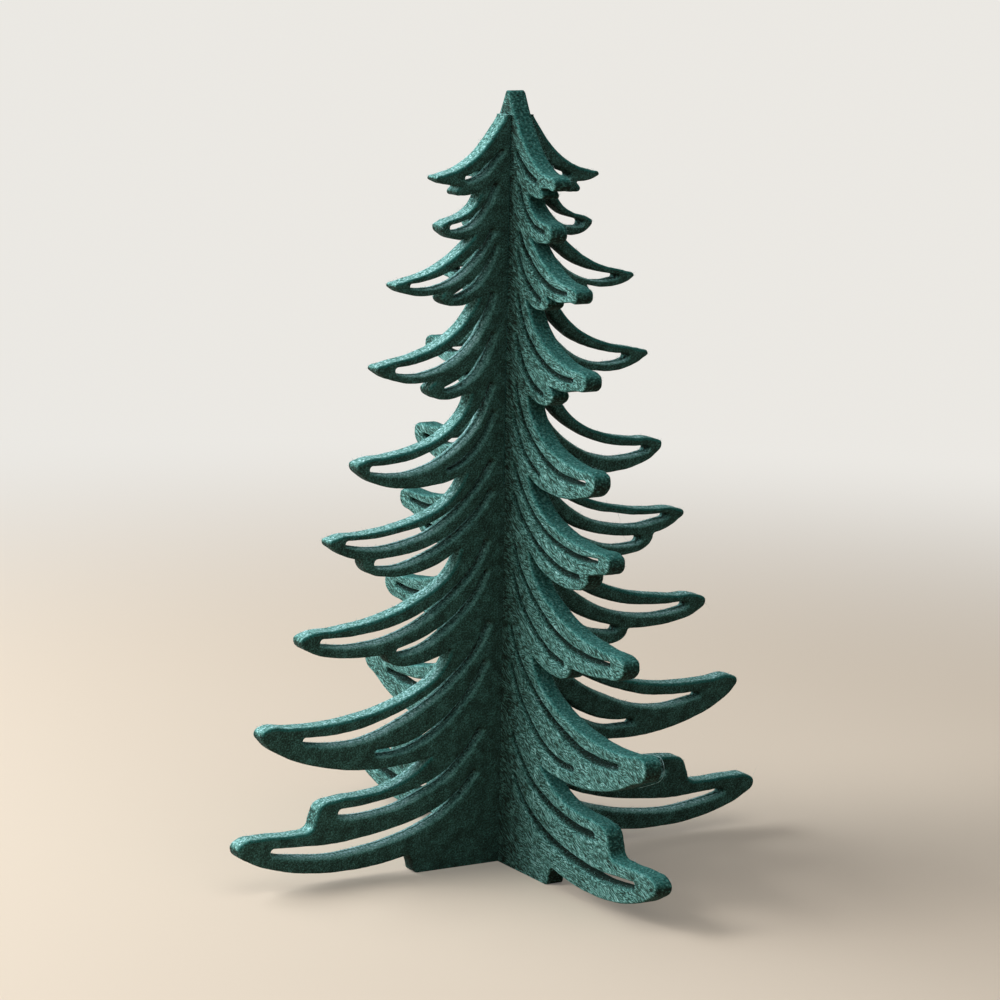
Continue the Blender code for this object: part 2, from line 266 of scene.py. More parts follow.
# the way into the felt at each point of a closed line that keeps the felt on its left
def waysIn(line):
    ways = []
    for i, here in enumerate(line):
        before = (here - line[i - 1]).normalized()
        after = (line[(i + 1) % len(line)] - here).normalized()
        side = Vector((-before.y - after.y, before.x + after.x)).normalized()
        ways.append(side / max(side.dot(Vector((-before.y, before.x))), felt["leastMitre"]))
    return ways


# true inside the slot and under the foot, where the felt is cut straight
def isStraight(spot, slot):
    inSlot = slot[0] < spot.y < slot[1] and abs(spot.x) < joint["halfWidth"] + joint["slack"]
    return inSlot or spot.y < joint["slack"]


# How far the face rolls over at each point: less in the slot, at a tight outward bend and where a
# bough is narrow. The room at a point is the round that fits between it and the other edges.
def rollsFor(lines, lineWays, slot, slitRound):
    spots = [spot for line in lines for spot in line]
    ways = [way.normalized() for some in lineWays for way in some]
    tree = kdtree.KDTree(len(spots))
    for i, spot in enumerate(spots):
        tree.insert(spot.to_3d(), i)
    tree.balance()
    rounds = [felt["edgeRound"]] * len(lines[0])
    rounds += [slitRound] * (len(spots) - len(rounds))
    rooms = []
    for spot, way, full in zip(spots, ways, rounds):
        room = felt["thickness"]
        for place, i, distance in tree.find_range(spot.to_3d(), slitRound * felt["searchRounds"]):
            ahead = (place.xy - spot).dot(way)
            if ahead > felt["aheadShare"] * distance:
                room = min(room, distance ** 2 / (2 * ahead))
        if isStraight(spot, slot):
            full *= joint["rimShare"]
        rooms.append(min(full, room * felt["narrowShare"]))
    rolls, start = [], 0
    for line in lines:
        some = rooms[start:start + len(line)]
        start += len(line)
        for smoothing in range(felt["smoothings"]):
            some = [min(some[i], (some[i - 1] + some[i] + some[(i + 1) % len(some)]) / 3)
                    for i in range(len(some))]
        rolls.append(some)
    return rolls


# how uneven the cut is, fading out at the foot and the apex
wobble = {
    "broad": 0.16 * mm,
    "broadSize": 9 * mm,
    "fine": 0.10 * mm,
    "fineSize": 2.2 * mm,
    "footFade": 4 * mm,
    "apex": 316 * mm,
    "apexFade": 6 * mm,
}


# how far in or out the cut strays at a place on the edge
def strayAt(spot, level, slot):
    if isStraight(spot, slot):
        return 0
    share = min(1, max(0, spot.y / wobble["footFade"]),
                max(0, (wobble["apex"] - spot.y) / wobble["apexFade"]))
    place = Vector((spot.x, spot.y, level))
    return share * (noise.noise(place / wobble["broadSize"]) * wobble["broad"]
                    + noise.noise(place / wobble["fineSize"]) * wobble["fine"])


# How the light catches the cut, painted into its colour: pale frost of fibre ends, painted lighter
# where the cut faces up and darker deeper in a slit. The leans say how far in a mark goes, in
# rolls.
catch = {
    "edgeSideways": 0.2,  # painted light: the frost of an edge that faces sideways
    "slitSideways": 0.6,  # and of the side of a slit
    "deepShare": 0.3,  # painted shade: what is left of a slit's frost halfway through the felt
    "narrowShare": 0.55,  # painted shade: what the narrowest slits have of it
    "wide": 3.6 * mm,  # slits this wide have all of it
    "edgeLean": 0.6,
    "slitLean": 1.1,
    "cutLean": 0.5,
    "crestRise": 0.3,
    "crestEnd": 1.3,
    "crestFall": 0.8,
    "rimRise": 0.35,
    "rimFall": 0.7,
}


# What the finish reads at one point: the cut, its frost with painted light, and the painted rim
# light on the pressed rim beside it. The wall and the lean are those of the point's row.
def marksAt(way, frostedWithPaintedLight, inSlit, wall, lean, paintedCrestHighlight):
    # painted light: the frost is painted lighter as the cut faces up, and a slit's darker deeper in
    facesUp = min(1, max(0, catch["slitSideways" if inSlit else "edgeSideways"] - way.y))
    if inSlit:
        facesUp *= catch["deepShare"] + (1 - catch["deepShare"]) * wall
    frostAndPaintedLight = frostedWithPaintedLight * facesUp * max(0, 1 - lean / catch["slitLean" if inSlit else "edgeLean"])
    # a painted highlight along the crest of the rim
    frostAndPaintedLight += paintedCrestHighlight * max(0, min(1, lean / catch["crestRise"],
                                     (catch["crestEnd"] - lean) / catch["crestFall"]))
    # painted rim light on the pressed rim of the edge, as much as it faces up
    rim = 0 if inSlit else facesUp * max(0, min(1, lean / catch["rimRise"],
                                                (felt["reach"] - lean) / catch["rimFall"]))
    return max(0, 1 - lean / catch["cutLean"]), frostAndPaintedLight, rim


# fills the face inside the last row
def closeFace():
    bpy.ops.mesh.select_mode(type="VERT")
    bpy.ops.mesh.fill(use_beauty=True)
    bpy.ops.mesh.select_all(action="SELECT")
    bpy.ops.mesh.normals_make_consistent(inside=False)


# the panel's edge and the rims of its slits on both sides, each with the frost and painted light
# along it
def panelLines(knots, cut):
    edge = easeCorners(edgeLine(knots), knots)
    lines, frostAndLightLines = [edge], [[1] * len(edge)]
    for stations in wingSlits:
        upper = stations[0][1] > felt["upperFrom"]
        rim = slitRim(stations, cut["slitWidth"], cut["upperWidest" if upper else "slitWidest"])
        line = [spot for spot, width in rim]
        lines += [line, [Vector((-spot.x, spot.y)) for spot in line[::-1]]]
        # painted shade: the narrower a slit, the less of its frost and painted light
        frostAndLightLine = [cut["slitFrostAndLight"] * min(1, max(catch["narrowShare"], width / catch["wide"]))
                     for spot, width in rim]
        frostAndLightLines += [frostAndLightLine, frostAndLightLine[::-1]]
    return lines, frostAndLightLines


# every row drawn up: its share of the wall, how far round the roll it is and how far in it leans
def rowsUp():
    bend = math.pi / 2 / felt["roundSteps"]
    rows = [(k / felt["wallSteps"], 0, 0) for k in range(felt["wallSteps"] + 1)]
    rows += [(1, math.sin(bend * k), 1 - math.cos(bend * k))
             for k in range(1, felt["roundSteps"] + 1)]
    return rows + [(1, 1, felt["reach"])]


# a place on the panel, to a ten-thousandth of a millimetre
def placeKey(spot):
    return round(spot.x, 7), round(spot.y, 7)


# The edge and the slits are drawn flat, drawn up in steps into a wall, and the last steps lean in
# over the felt, so that the face rolls over into the cut edge. The face is filled, the half is
# mirrored, and the panel is stood up.
def cutPanel(name, knots, slot, turn, cut):
    lines, frostAndLightLines = panelLines(knots, cut)
    lineWays = [waysIn(line) for line in lines]
    lineRolls = rollsFor(lines, lineWays, slot, cut["slitRound"])
    panel = flatCurve(name)
    pointFacts = {}
    for k, (line, ways, rolls, frostAndLightLine) in enumerate(zip(lines, lineWays, lineRolls, frostAndLightLines)):
        spline = panel.data.splines.new("POLY")
        spline.use_cyclic_u = True
        spline.points.add(len(line) - 1)
        for point, spot, way, roll, frostedWithPaintedLight in zip(spline.points, line, ways, rolls, frostAndLightLine):
            point.co = (spot.x, spot.y, 0, 1)
            pointFacts[placeKey(spot)] = (way, roll, frostedWithPaintedLight, k > 0)
    panel = toMesh(panel)
    panel.data.name = name

    rows = rowsUp()
    half = felt["thickness"] / 2
    step = half / len(rows)

    def drawUp():
        bpy.ops.mesh.select_mode(type="VERT")
        bpy.ops.mesh.select_all(action="SELECT")
        for row in rows[1:]:
            bpy.ops.mesh.extrude_region_move(TRANSFORM_OT_translate={"value": (0, 0, step)})

    inEdit(panel, drawUp)
    marks = [panel.data.attributes.new(label, "FLOAT", "POINT").data
             for label in ("cutEdge", "frostAndPaintedLight", "rim")]
    for i, vertex in enumerate(panel.data.vertices):
        spot, row = vertex.co.xy.copy(), round(vertex.co.z / step)
        way, roll, frostedWithPaintedLight, inSlit = pointFacts[placeKey(spot)]
        wall, rise, lean = rows[row]
        drop = roll * felt["slitDrop" if inSlit else "edgeDrop"]
        level = (half - drop) * wall + drop * rise
        place = spot + way * (roll * lean + strayAt(spot, level, slot))
        vertex.co = (place.x, place.y, level)
        values = marksAt(way, frostedWithPaintedLight, inSlit, wall, lean, cut["paintedCrestHighlight"])
        for mark, value in zip(marks, values):
            mark[i].value = value
        vertex.select = row == len(rows) - 1
    for part in (*panel.data.edges, *panel.data.polygons):
        part.select = False

    inEdit(panel, closeFace)
    mirror = panel.modifiers.new("mirror", "MIRROR")
    mirror.use_axis = (False, False, True)
    mirror.merge_threshold = felt["merge"]
    only(panel)
    bpy.ops.object.modifier_apply(modifier="mirror")
    panel.rotation_euler = (math.pi / 2, 0, turn)
    bpy.ops.object.transform_apply(location=True, rotation=True, scale=True)
    bpy.ops.object.shade_smooth_by_angle(angle=felt["shadeAngle"])
    return panel


# the same edge on the other side of the trunk, from the apex down
def mirrored(knots):
    return [(-knot[0], *knot[1:]) for knot in reversed(knots)]


# The boughs of the crossing panel end more bluntly. The tips are known by their height in mm, and
# each has the height of its blunt end.
bluntEnds = {65.6: 8, 102.1: 6.5, 141.2: 6.5, 171.6: 7, 210.4: 6, 243.3: 5, 266.0: 6, 285.6: 4.6}

# where the knots before, at and after a tip go, out and up from it, as shares of that height
bluntShares = {-1: (-0.06, -0.62), 0: (0.08, 0.02), 1: (-0.12, 0.30)}


def blunted(knots):
    heights = [knot[1] for knot in knots]
    knots = list(knots)
    for up, high in bluntEnds.items():
        i = heights.index(up)
        out = knots[i][0]
        for k, (outShare, upShare) in bluntShares.items():
            knots[i + k] = (out + outShare * high, up + upShare * high)
    return knots


# the widths of the slits as a share of the listed ones and at most so many mm, how widely their
# rims are rounded, how much frost and painted light is in them, and the painted highlight on the
# crest of the rims
standingCut = {"slitWidth": 1, "slitWidest": 6, "upperWidest": 6, "slitRound": 1.6 * mm,
               "slitFrostAndLight": 1.2, "paintedCrestHighlight": 0}
crossingCut = {"slitWidth": 0.8, "slitWidest": 2.75, "upperWidest": 1.75, "slitRound": 1.5 * mm,
               "slitFrostAndLight": 0, "paintedCrestHighlight": 0.25}
crossingTurn = math.pi / 2  # from the standing panel

# the standing panel: slotted from its top, with a shoulder on each side of the slot
slotSide, meeting = joint["halfWidth"] / mm, joint["crossing"] / mm
top, shoulder = joint["shoulder"] / mm, joint["shoulderOut"] / mm
below = [knot for knot in wingEdge if knot[1] < top - joint["slack"] / mm]
standingFelt = cutPanel(
    "standingFelt",
    below + [(shoulder, top, kept), (slotSide, top, kept), (slotSide, meeting, kept),
             (-slotSide, meeting, kept), (-slotSide, top, kept), (-shoulder, top, kept)]
    + mirrored(below),
    (joint["crossing"] - joint["overlap"], joint["aboveAll"]), 0, standingCut)
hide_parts("standing_panel")
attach(standingFelt, "standing")
print("standing panel cut:", len(standingFelt.data.vertices), "points")

# the crossing panel: slotted from its foot
meeting += joint["gap"] / mm
bluntWing = blunted(wingEdge)
crossingFelt = cutPanel(
    "crossingFelt",
    bluntWing + mirrored(bluntWing)
    + [(-slotSide, 0, kept), (-slotSide, meeting, kept),
       (slotSide, meeting, kept), (slotSide, 0, kept)],
    (-joint["overlap"], joint["crossing"] + joint["overlap"]), crossingTurn, crossingCut)
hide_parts("crossing_panel")
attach(crossingFelt, "crossing")
print("crossing panel cut:", len(crossingFelt.data.vertices), "points")


# short loose fibres that stand up from the rims, and a few longer ones that have worked free
fuzz = {
    "seed": 7,
    "count": 5200,
    "thickness": 0.055 * mm,
    "length": (0.5 * mm, 1.5 * mm),
    "points": 3,
    "lean": 0.9,  # how far they lean away from straight out
    "sideways": 0.6,  # how far that lean is kept to the sides
    "turn": 0.9,  # how far they bend over
    "taper": 0.6,
    "sink": 0.08 * mm,  # how deep they are rooted
    "sideChance": 0.35,  # where the rim faces sideways; it is 1 where the rim faces up
    "strays": 26,
    "strayLength": (3.5 * mm, 7 * mm),
    "strayThickness": 0.07 * mm,
    "strayPoints": 8,
    "longThickness": 0.14 * mm,
    "longSteps": 4,
    "leastCut": 0.15,  # they grow where the mark of the cut is more than this
    "lowest": 1 * mm,
    "weld": 0.002 * mm,
    "patch": 2.5 * mm,  # the size of their patches of colour
    "patchStops": (0.35, 0.65),
}

# one long fibre lies round the end of the second bough of the crossing panel, in mm
longFibre = [
    (3.2, -103.5, 67.6), (3.5, -107.0, 68.2), (3.8, -110.8, 69.1), (4.0, -114.4, 68.8),
    (4.1, -116.3, 65.6), (4.1, -115.8, 61.8), (4.0, -113.6, 59.1), (3.9, -109.0, 57.1),
    (3.8, -103.4, 54.9), (3.6, -98.0, 52.8),
]


# a fibre from a place on the felt as a line of points, bending over as it goes
def fibreLine(chance, start, normal, length, points):
    lean = Vector([chance.uniform(-1, 1) for k in range(3)]) * fuzz["lean"]
    way = (normal + lean - normal * lean.dot(normal) * fuzz["sideways"]).normalized()
    turn = Vector([chance.uniform(-1, 1) for k in range(3)]) * fuzz["turn"]
    line = [start - normal * fuzz["sink"]]
    for k in range(points - 1):
        line.append(line[-1] + way * length / (points - 1))
        way = (way + turn / (points - 1)).normalized()
    return line


def addFuzz(name, panel, body, longFibres):
    chance = random.Random(fuzz["seed"] + len(panel.data.vertices))
    cut = panel.data.attributes["cutEdge"].data
    # every rim but those in the slots and beside the other panel
    rims = [vertex for vertex in panel.data.vertices
            if fuzz["leastCut"] < cut[vertex.index].value < 1 and vertex.co.z > fuzz["lowest"]
            and not isStraight(Vector((vertex.co.x + vertex.co.y, vertex.co.z)),
                               (0, joint["aboveAll"]))]
    curve = bpy.data.curves.new(name, "CURVE")
    curve.dimensions = "3D"
    curve.bevel_depth = 1
    curve.bevel_resolution = 0
    curve.use_fill_caps = True

    def addFibre(vertex, length, thickness, points):
        spline = curve.splines.new("POLY")
        spline.points.add(points - 1)
        line = fibreLine(chance, vertex.co, vertex.normal, length, points)
        for k, (point, place) in enumerate(zip(spline.points, line)):
            point.co = (*place, 1)
            point.radius = thickness / 2 * (1 - fuzz["taper"] * k / (points - 1))

    while len(curve.splines) < fuzz["count"]:
        vertex = chance.choice(rims)
        if chance.random() < fuzz["sideChance"] + (1 - fuzz["sideChance"]) * vertex.normal.z:
            addFibre(vertex, chance.uniform(*fuzz["length"]), fuzz["thickness"], fuzz["points"])
    for k in range(fuzz["strays"]):
        addFibre(chance.choice(rims), chance.uniform(*fuzz["strayLength"]),
                 fuzz["strayThickness"], fuzz["strayPoints"])
    for places in longFibres:
        spline = curve.splines.new("NURBS")
        spline.points.add(len(places) - 1)
        spline.use_endpoint_u = True
        spline.resolution_u = fuzz["longSteps"]
        for point, place in zip(spline.points, places):
            point.co = (*(Vector(place) * mm), 1)
            point.radius = fuzz["longThickness"] / 2
    obj = bpy.data.objects.new(name, curve)
    bpy.context.scene.collection.objects.link(obj)
    obj = toMesh(obj)
    obj.data.name = name

    def closeUp():
        bpy.ops.mesh.select_mode(type="VERT")
        bpy.ops.mesh.select_all(action="SELECT")
        bpy.ops.mesh.remove_doubles(threshold=fuzz["weld"])
        bpy.ops.mesh.normals_make_consistent(inside=False)

    inEdit(obj, closeUp)
    bpy.ops.object.shade_smooth()
    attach(obj, body)
    print(name + ":", len(obj.data.polygons), "faces")
    return obj


standingFuzz = addFuzz("standingFuzz", standingFelt, "standing", [])
crossingFuzz = addFuzz("crossingFuzz", crossingFelt, "crossing", [longFibre])


# the felt's shades, from its shadows to the fibres that catch the light, where they stand between
# 0 and 1, and the painted rim light along its rims
look = {
    "darkest": (0.008, 0.017, 0.013),
    "dark": (0.021, 0.057, 0.047),
    "middle": (0.060, 0.176, 0.158),
    "light": (0.170, 0.385, 0.364),
    "fibre": (0.46, 0.75, 0.79),
    "stops": {"dark": 0.25, "middle": 0.5, "light": 0.78},
    "rim": (0.012, 0.160, 0.152),
    "break": (4, -1.15),  # the painted rim light shows where this times the grain and plus this is over 0
    "trunkShadeOver": (4, 42),  # the painted shade by the trunk fades out over this stretch, in mm out from the trunk
    "strokeEdge": (0.40, 0.62),  # where in its noise a fibre starts, and where it is full
    "patchEdge": (0.44, 0.56),  # and a patch of another lay
    "bend": 2,  # how far a fibre wanders, in mm
    "endSpots": (2.2, 2.2, 0.9),  # fibre ends to a millimetre: along the panel, up and through it
    "bump": 0.3 * mm,
}

# the layers of fibres: how far each is turned from the lay, and a fibre's length and width in mm
fibres = {
    "main": (0, 4.2, 0.48),
    "aside": (0.45, 3.8, 0.45),
    "across": (-0.5, 3.4, 0.45),
    "fine": (0.1, 1.8, 0.28),
}

# the patterns: how many spots to a millimetre, how detailed and how rough
patterns = {
    "drift": (0.22, 1, 0.5),
    "strokes": (1, 0, 0.5),
    "patches": (0.12, 1, 0.5),
    "mottle": (0.20, 4, 0.6),
    "grain": (1.5, 2, 0.6),
    "ends": (1, 3, 0.6),
    "lumps": (1, 1, 0.5),
}

# how much each layer adds to the shade of the faces and of the cut, and what is taken off again
faceShares = {"lay": 0.40, "across": 0.14, "fine": 0.26, "mottle": 0.52, "grain": 0.20, "off": 0.30}
cutShares = {"lumps": 1.7, "grain": 0.7, "ends": 1.3, "off": 1.85, "level": 0.05}

# How the felt of each panel looks: which way it faces, the lay of its fibres and how combed they
# are, how deep its painted shade is (the standing panel's faces lie in shade), how strongly its
# frost with painted light, its painted rim light and the fibre ends on its cut show, how far its
# frost takes the colour of the rim light, and how much painted shade lies by the trunk.
finishes = {
    "standingFelt": {"turn": 0, "lay": math.radians(57), "combed": 0.2, "paintedShadeDepth": 0.27,
                     "frostAndPaintedLight": 0.66, "rim": 0.6, "ends": 0.75, "tint": 0, "paintedTrunkShade": 0},
    "crossingFelt": {"turn": crossingTurn, "lay": math.radians(30), "combed": 1, "paintedShadeDepth": 0.02,
                     "frostAndPaintedLight": 0.34, "rim": 0.2, "ends": 0.8, "tint": 0.5, "paintedTrunkShade": 0.16},
}


def addNodeAt(tree, kind, place):
    node = tree.nodes.new(kind)
    node.location = place
    return node


def addNode(tree, kind, place, **settings):
    node = addNodeAt(tree, "ShaderNode" + kind, place)
    for name, value in settings.items():
        setattr(node, name, value)
    return node


def setInputs(node, values):
    for name, value in values.items():
        node.inputs[name].default_value = value


def addMath(tree, operation, place, *inputs, clamp=False):
    node = addNode(tree, "Math", place, operation=operation, use_clamp=clamp)
    for socket, value in zip(node.inputs, inputs):
        if isinstance(value, (int, float)):
            socket.default_value = value
        else:
            tree.links.new(value, socket)
    return node.outputs[0]


def addNoise(tree, place, source, scale, detail=2, roughness=0.5):
    node = addNode(tree, "TexNoise", place)
    setInputs(node, {"Scale": scale, "Detail": detail, "Roughness": roughness})
    tree.links.new(source, node.inputs["Vector"])
    return node.outputs


# goes smoothly from the first value to the second while the source goes through a stretch
def addFade(tree, place, source, stretch, values=(0, 1)):
    node = addNode(tree, "MapRange", place, interpolation_type="SMOOTHSTEP")
    setInputs(node, {"From Min": stretch[0], "From Max": stretch[1],
                     "To Min": values[0], "To Max": values[1]})
    tree.links.new(source, node.inputs["Value"])
    return node.outputs[0]


def addBlend(tree, place, share, first, second):
    node = addNode(tree, "Mix", place, data_type="FLOAT")
    for socket, source in (("Factor", share), ("A", first), ("B", second)):
        tree.links.new(source, node.inputs[socket])
    return node.outputs["Result"]


def newGroup(name, inputs, outputs):
    tree = bpy.data.node_groups.new(name, "ShaderNodeTree")
    for label, kind, value in inputs:
        socket = tree.interface.new_socket(label, in_out="INPUT", socket_type="NodeSocket" + kind)
        if value is not None:
            socket.default_value = value
    for label, kind in outputs:
        tree.interface.new_socket(label, in_out="OUTPUT", socket_type="NodeSocket" + kind)
    given = addNodeAt(tree, "NodeGroupInput", (-1400, 0))
    result = addNodeAt(tree, "NodeGroupOutput", (400, 0))
    return tree, given.outputs, result.inputs


# a layer of short fibres lying one way, 1 on a fibre and 0 beside it
fibreLayer, given, result = newGroup(
    "fibreLayer",
    [("Vector", "Vector", None), ("Turn", "Float", 0), ("Length", "Float", 3),
     ("Width", "Float", 0.35), ("Bend", "Float", 0.8)],
    [("Mask", "Float")])
drift = addNoise(fibreLayer, (-1200, -200), given["Vector"], *patterns["drift"])
centred = addNode(fibreLayer, "VectorMath", (-1000, -200), operation="SUBTRACT")
centred.inputs[1].default_value = (0.5, 0.5, 0.5)
bent = addNode(fibreLayer, "VectorMath", (-820, -200), operation="SCALE")
moved = addNode(fibreLayer, "VectorMath", (-640, 0), operation="ADD")
turned = addNode(fibreLayer, "VectorRotate", (-460, 0), rotation_type="Z_AXIS")
size = addNode(fibreLayer, "CombineXYZ", (-460, -260))
drawn = addNode(fibreLayer, "VectorMath", (-280, 0), operation="DIVIDE")
strokes = addNoise(fibreLayer, (-100, 0), drawn.outputs[0], *patterns["strokes"])
mask = addFade(fibreLayer, (200, 0), strokes["Fac"], look["strokeEdge"])
for source, target in (
        (drift["Color"], centred.inputs[0]),
        (centred.outputs[0], bent.inputs[0]),
        (given["Bend"], bent.inputs["Scale"]),
        (given["Vector"], moved.inputs[0]),
        (bent.outputs[0], moved.inputs[1]),
        (moved.outputs[0], turned.inputs["Vector"]),
        (given["Turn"], turned.inputs["Angle"]),
        (given["Length"], size.inputs[0]),
        (given["Width"], size.inputs[1]),
        (given["Width"], size.inputs[2]),
        (turned.outputs[0], drawn.inputs[0]),
        (size.outputs[0], drawn.inputs[1]),
        (mask, result["Mask"])):
    fibreLayer.links.new(source, target)


# pressed faces with fibres in a main lay and across it, and cut edges with their ends standing out
def feltMaterial(name, finish):
    material = bpy.data.materials.new(name)
    material.use_nodes = True
    tree = material.node_tree
    link = tree.links.new
    shader = tree.nodes["Principled BSDF"]
    shader.location = (1500, 0)
    tree.nodes["Material Output"].location = (1800, 0)

    # millimetres along the panel, up it and through it
    place = addNode(tree, "TexCoord", (-1900, 0))
    upright = addNode(tree, "Mapping", (-1700, 0))
    laidFlat = addNode(tree, "Mapping", (-1500, 0))
    setInputs(upright, {"Rotation": (0, 0, -finish["turn"])})
    setInputs(laidFlat, {"Rotation": (-math.pi / 2, 0, 0), "Scale": (1 / mm, 1 / mm, 1 / mm)})
    link(place.outputs["Object"], upright.inputs["Vector"])
    link(upright.outputs[0], laidFlat.inputs["Vector"])
    flat = laidFlat.outputs[0]
    cut, frostAndPaintedLight, rim = (addNode(tree, "Attribute", (-1500, low), attribute_name=label).outputs["Fac"]
                       for low, label in ((-500, "cutEdge"), (-700, "frostAndPaintedLight"), (-900, "rim")))

    def addFibres(place, turn, length, width):
        node = addNodeAt(tree, "ShaderNodeGroup", place)
        node.node_tree = fibreLayer
        setInputs(node, {"Turn": turn - finish["lay"], "Length": length, "Width": width,
                         "Bend": look["bend"]})
        link(flat, node.inputs["Vector"])
        return node.outputs["Mask"]

    main = addFibres((-1200, 500), *fibres["main"])
    aside = addFibres((-1200, 250), *fibres["aside"])
    across = addFibres((-1200, 0), *fibres["across"])
    fine = addFibres((-1200, -250), *fibres["fine"])
    mottle = addNoise(tree, (-1200, -500), flat, *patterns["mottle"])["Fac"]
    grain = addNoise(tree, (-1200, -700), flat, *patterns["grain"])["Fac"]

    # the lay changes from patch to patch
    patches = addNoise(tree, (-1200, 700), flat, *patterns["patches"])["Fac"]
    patches = addFade(tree, (-900, 700), patches, look["patchEdge"])
    laid = addBlend(tree, (-700, 500), patches, main, aside)

    # combed felt shows its fibres, and the rest more of its grain
    face = addMath(tree, "MULTIPLY", (-500, 400), laid, faceShares["lay"])
    face = addMath(tree, "MULTIPLY_ADD", (-400, 300), across, faceShares["across"], face)
    face = addMath(tree, "MULTIPLY_ADD", (-300, 200), fine, faceShares["fine"], face)
    matted = addMath(tree, "SUBTRACT", (-400, 100), grain, face)
    face = addMath(tree, "MULTIPLY_ADD", (-200, 100), matted, 1 - finish["combed"], face)
    face = addMath(tree, "MULTIPLY_ADD", (-100, 100), mottle, faceShares["mottle"], face)
    face = addMath(tree, "MULTIPLY_ADD", (0, 100), grain, faceShares["grain"], face)
    # painted shade: the standing panel's faces, which lie in shade, are taken down further
    face = addMath(tree, "SUBTRACT", (100, 100), face, faceShares["off"] + finish["paintedShadeDepth"])

    # painted shade: the felt is darker by the trunk, where the other panel shades it, paler at the
    # tips
    apart = addNode(tree, "SeparateXYZ", (-1300, 900))
    link(flat, apart.inputs[0])
    out = addMath(tree, "ABSOLUTE", (-1100, 900), apart.outputs[0])
    out = addFade(tree, (-900, 900), out, look["trunkShadeOver"], (-finish["paintedTrunkShade"], 0))
    face = addMath(tree, "ADD", (200, 100), face, out)

    # the ends of fibres on the cut, drawn through the thickness
    through = addNode(tree, "Mapping", (-1200, -900))
    setInputs(through, {"Scale": look["endSpots"]})
    link(flat, through.inputs["Vector"])
    ends = addNoise(tree, (-1000, -900), through.outputs[0], *patterns["ends"])["Fac"]
    lumps = addNoise(tree, (-1200, -1100), flat, *patterns["lumps"])["Fac"]
    rough = addMath(tree, "MULTIPLY", (-700, -700), lumps, cutShares["lumps"])
    rough = addMath(tree, "MULTIPLY_ADD", (-600, -750), grain, cutShares["grain"], rough)
    rough = addMath(tree, "MULTIPLY_ADD", (-500, -800), ends, cutShares["ends"], rough)
    rough = addMath(tree, "SUBTRACT", (-400, -800), rough, cutShares["off"])
    rough = addMath(tree, "MULTIPLY_ADD", (-300, -800), rough, finish["ends"], cutShares["level"])

    # the shade of the faces and the cut, with the frost and its painted light on it
    surface = addBlend(tree, (300, 0), cut, face, rough)
    shade = addNode(tree, "ValToRGB", (600, 200))
    stops = shade.color_ramp.elements
    stops[0].color = (*look["darkest"], 1)
    stops[1].color = (*look["fibre"], 1)
    for colour, spot in look["stops"].items():
        stops.new(spot).color = (*look[colour], 1)
    frostedWithPaintedLight = addMath(tree, "MULTIPLY_ADD", (450, -200), frostAndPaintedLight, finish["frostAndPaintedLight"], surface)
    link(frostedWithPaintedLight, shade.inputs["Fac"])

    # the painted rim light, on the rims and on the frost, is broken up by the grain
    rimLightShare = addMath(tree, "MULTIPLY", (600, -50), rim, finish["rim"])
    rimLightShare = addMath(tree, "MULTIPLY_ADD", (700, -50), frostAndPaintedLight, finish["tint"], rimLightShare)
    broken = addMath(tree, "MULTIPLY_ADD", (700, -250), grain, *look["break"], clamp=True)
    rimLightShare = addMath(tree, "MULTIPLY", (800, -50), rimLightShare, broken, clamp=True)
    rimmed = addNode(tree, "Mix", (1000, 200), data_type="RGBA")
    link(rimLightShare, rimmed.inputs["Factor"])
    link(shade.outputs["Color"], rimmed.inputs["A"])
    setInputs(rimmed, {"B": (*look["rim"], 1)})
    link(rimmed.outputs["Result"], shader.inputs["Base Color"])

    bump = addNode(tree, "Bump", (1200, -300))
    setInputs(bump, {"Strength": 1, "Distance": look["bump"]})
    link(surface, bump.inputs["Height"])
    link(bump.outputs[0], shader.inputs["Normal"])
    setInputs(shader, {"Roughness": 0.95, "Specular IOR Level": 0.15, "Sheen Weight": 0.08,
                       "Sheen Roughness": 0.3, "Sheen Tint": (0.30, 0.78, 0.70, 1)})
    return material


for panel in (standingFelt, crossingFelt):
    panel.data.materials.append(feltMaterial(panel.name, finishes[panel.name]))

# the loose fibres, some dyed deeper than others
fuzzFelt = bpy.data.materials.new("fuzzFelt")
fuzzFelt.use_nodes = True
tree = fuzzFelt.node_tree
shader = tree.nodes["Principled BSDF"]
place = addNode(tree, "TexCoord", (-900, 0))
patches = addNoise(tree, (-700, 0), place.outputs["Object"], 1 / fuzz["patch"])
shade = addNode(tree, "ValToRGB", (-400, 0))
for stop, spot, colour in zip(shade.color_ramp.elements, fuzz["patchStops"], ("middle", "fibre")):
    stop.position = spot
    stop.color = (*look[colour], 1)
tree.links.new(patches["Fac"], shade.inputs["Fac"])
tree.links.new(shade.outputs["Color"], shader.inputs["Base Color"])
setInputs(shader, {"Roughness": 0.9, "Specular IOR Level": 0.2})
for strands in (standingFuzz, crossingFuzz):
    strands.data.materials.append(fuzzFelt)
print("felt dyed")

# the floor and what is round the tree: from the camera both fade to one pale colour
room = {
    "floorSize": 12.0,
    "floorColour": (0.66, 0.56, 0.45, 1),
    "paleColour": (0.83, 0.81, 0.77, 1),
    "fadeFrom": 0.35,
    "fadeTo": 1.1,
    "lift": 0.12,  # how pale the floor is where the fade starts
    "fill": 0.10,
    "fillColour": (1.0, 0.84, 0.66, 1),
}


def mixShaders(tree, place, share, first, second, output):
    mix = addNode(tree, "MixShader", place)
    tree.links.new(share, mix.inputs["Fac"])
    tree.links.new(first.outputs[0], mix.inputs[1])
    tree.links.new(second.outputs[0], mix.inputs[2])
    tree.links.new(mix.outputs[0], tree.nodes[output].inputs["Surface"])


